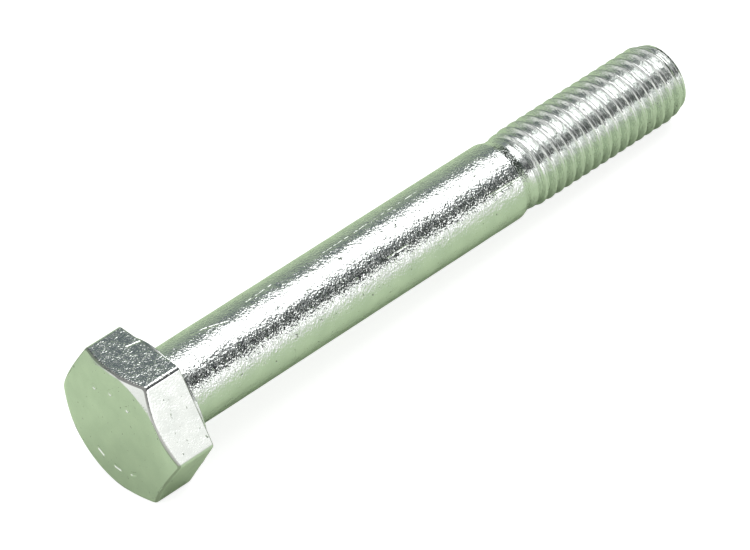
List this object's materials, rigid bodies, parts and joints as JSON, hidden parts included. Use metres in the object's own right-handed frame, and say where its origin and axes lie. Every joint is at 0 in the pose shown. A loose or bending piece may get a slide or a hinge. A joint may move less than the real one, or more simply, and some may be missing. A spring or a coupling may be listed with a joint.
{
  "type": "hex bolt",
  "caption": "Hexagon head bolt with a washer face, a plain shank and a coarse right-hand thread to a chamfered end; zinc plated.",
  "frame": {"origin": "centre of the flat crown face of the head", "axes": "+X along the bolt's axis from the crown to the threaded point, +Z square to one wrench flat, so the bolt lies on its side"},
  "size_m": [0.0864, 0.0194, 0.017],
  "materials": {
    "zinc_head": "zinc plated steel as forged, pale green tint, satin",
    "zinc_shank": "zinc plated drawn steel, semi-bright with fine speckle",
    "zinc_thread": "zinc plated rolled thread, semi-bright"
  },
  "bodies": {
    "root": {"hex_head": "zinc_head", "washer_face": "zinc_head", "underhead_fillet": "zinc_shank", "plain_shank": "zinc_shank", "shank_shoulder": "zinc_shank", "thread_run_in": "zinc_thread", "full_thread": "zinc_thread", "thread_point": "zinc_thread"}
  },
  "joints": []
}
